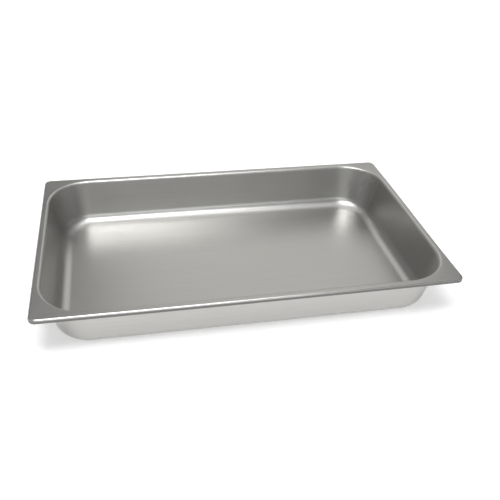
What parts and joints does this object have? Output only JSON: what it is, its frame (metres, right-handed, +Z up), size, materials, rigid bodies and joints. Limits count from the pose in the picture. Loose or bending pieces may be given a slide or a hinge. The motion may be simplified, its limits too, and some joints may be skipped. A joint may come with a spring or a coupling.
{
  "type": "deli food pan",
  "caption": "Shallow rectangular stainless steel food pan drawn from sheet, with sloping walls, rounded corners and a flat rim whose edge turns down into a lip.",
  "frame": {"origin": "middle of the floor's underside, which is the face that the pan rests on", "axes": "+X along the pan's length, +Y across its width, +Z up towards the rim"},
  "size_m": [0.53, 0.325, 0.065],
  "materials": {
    "stainless_steel": "satin"
  },
  "bodies": {
    "root": {"pan": "stainless_steel"}
  },
  "joints": []
}
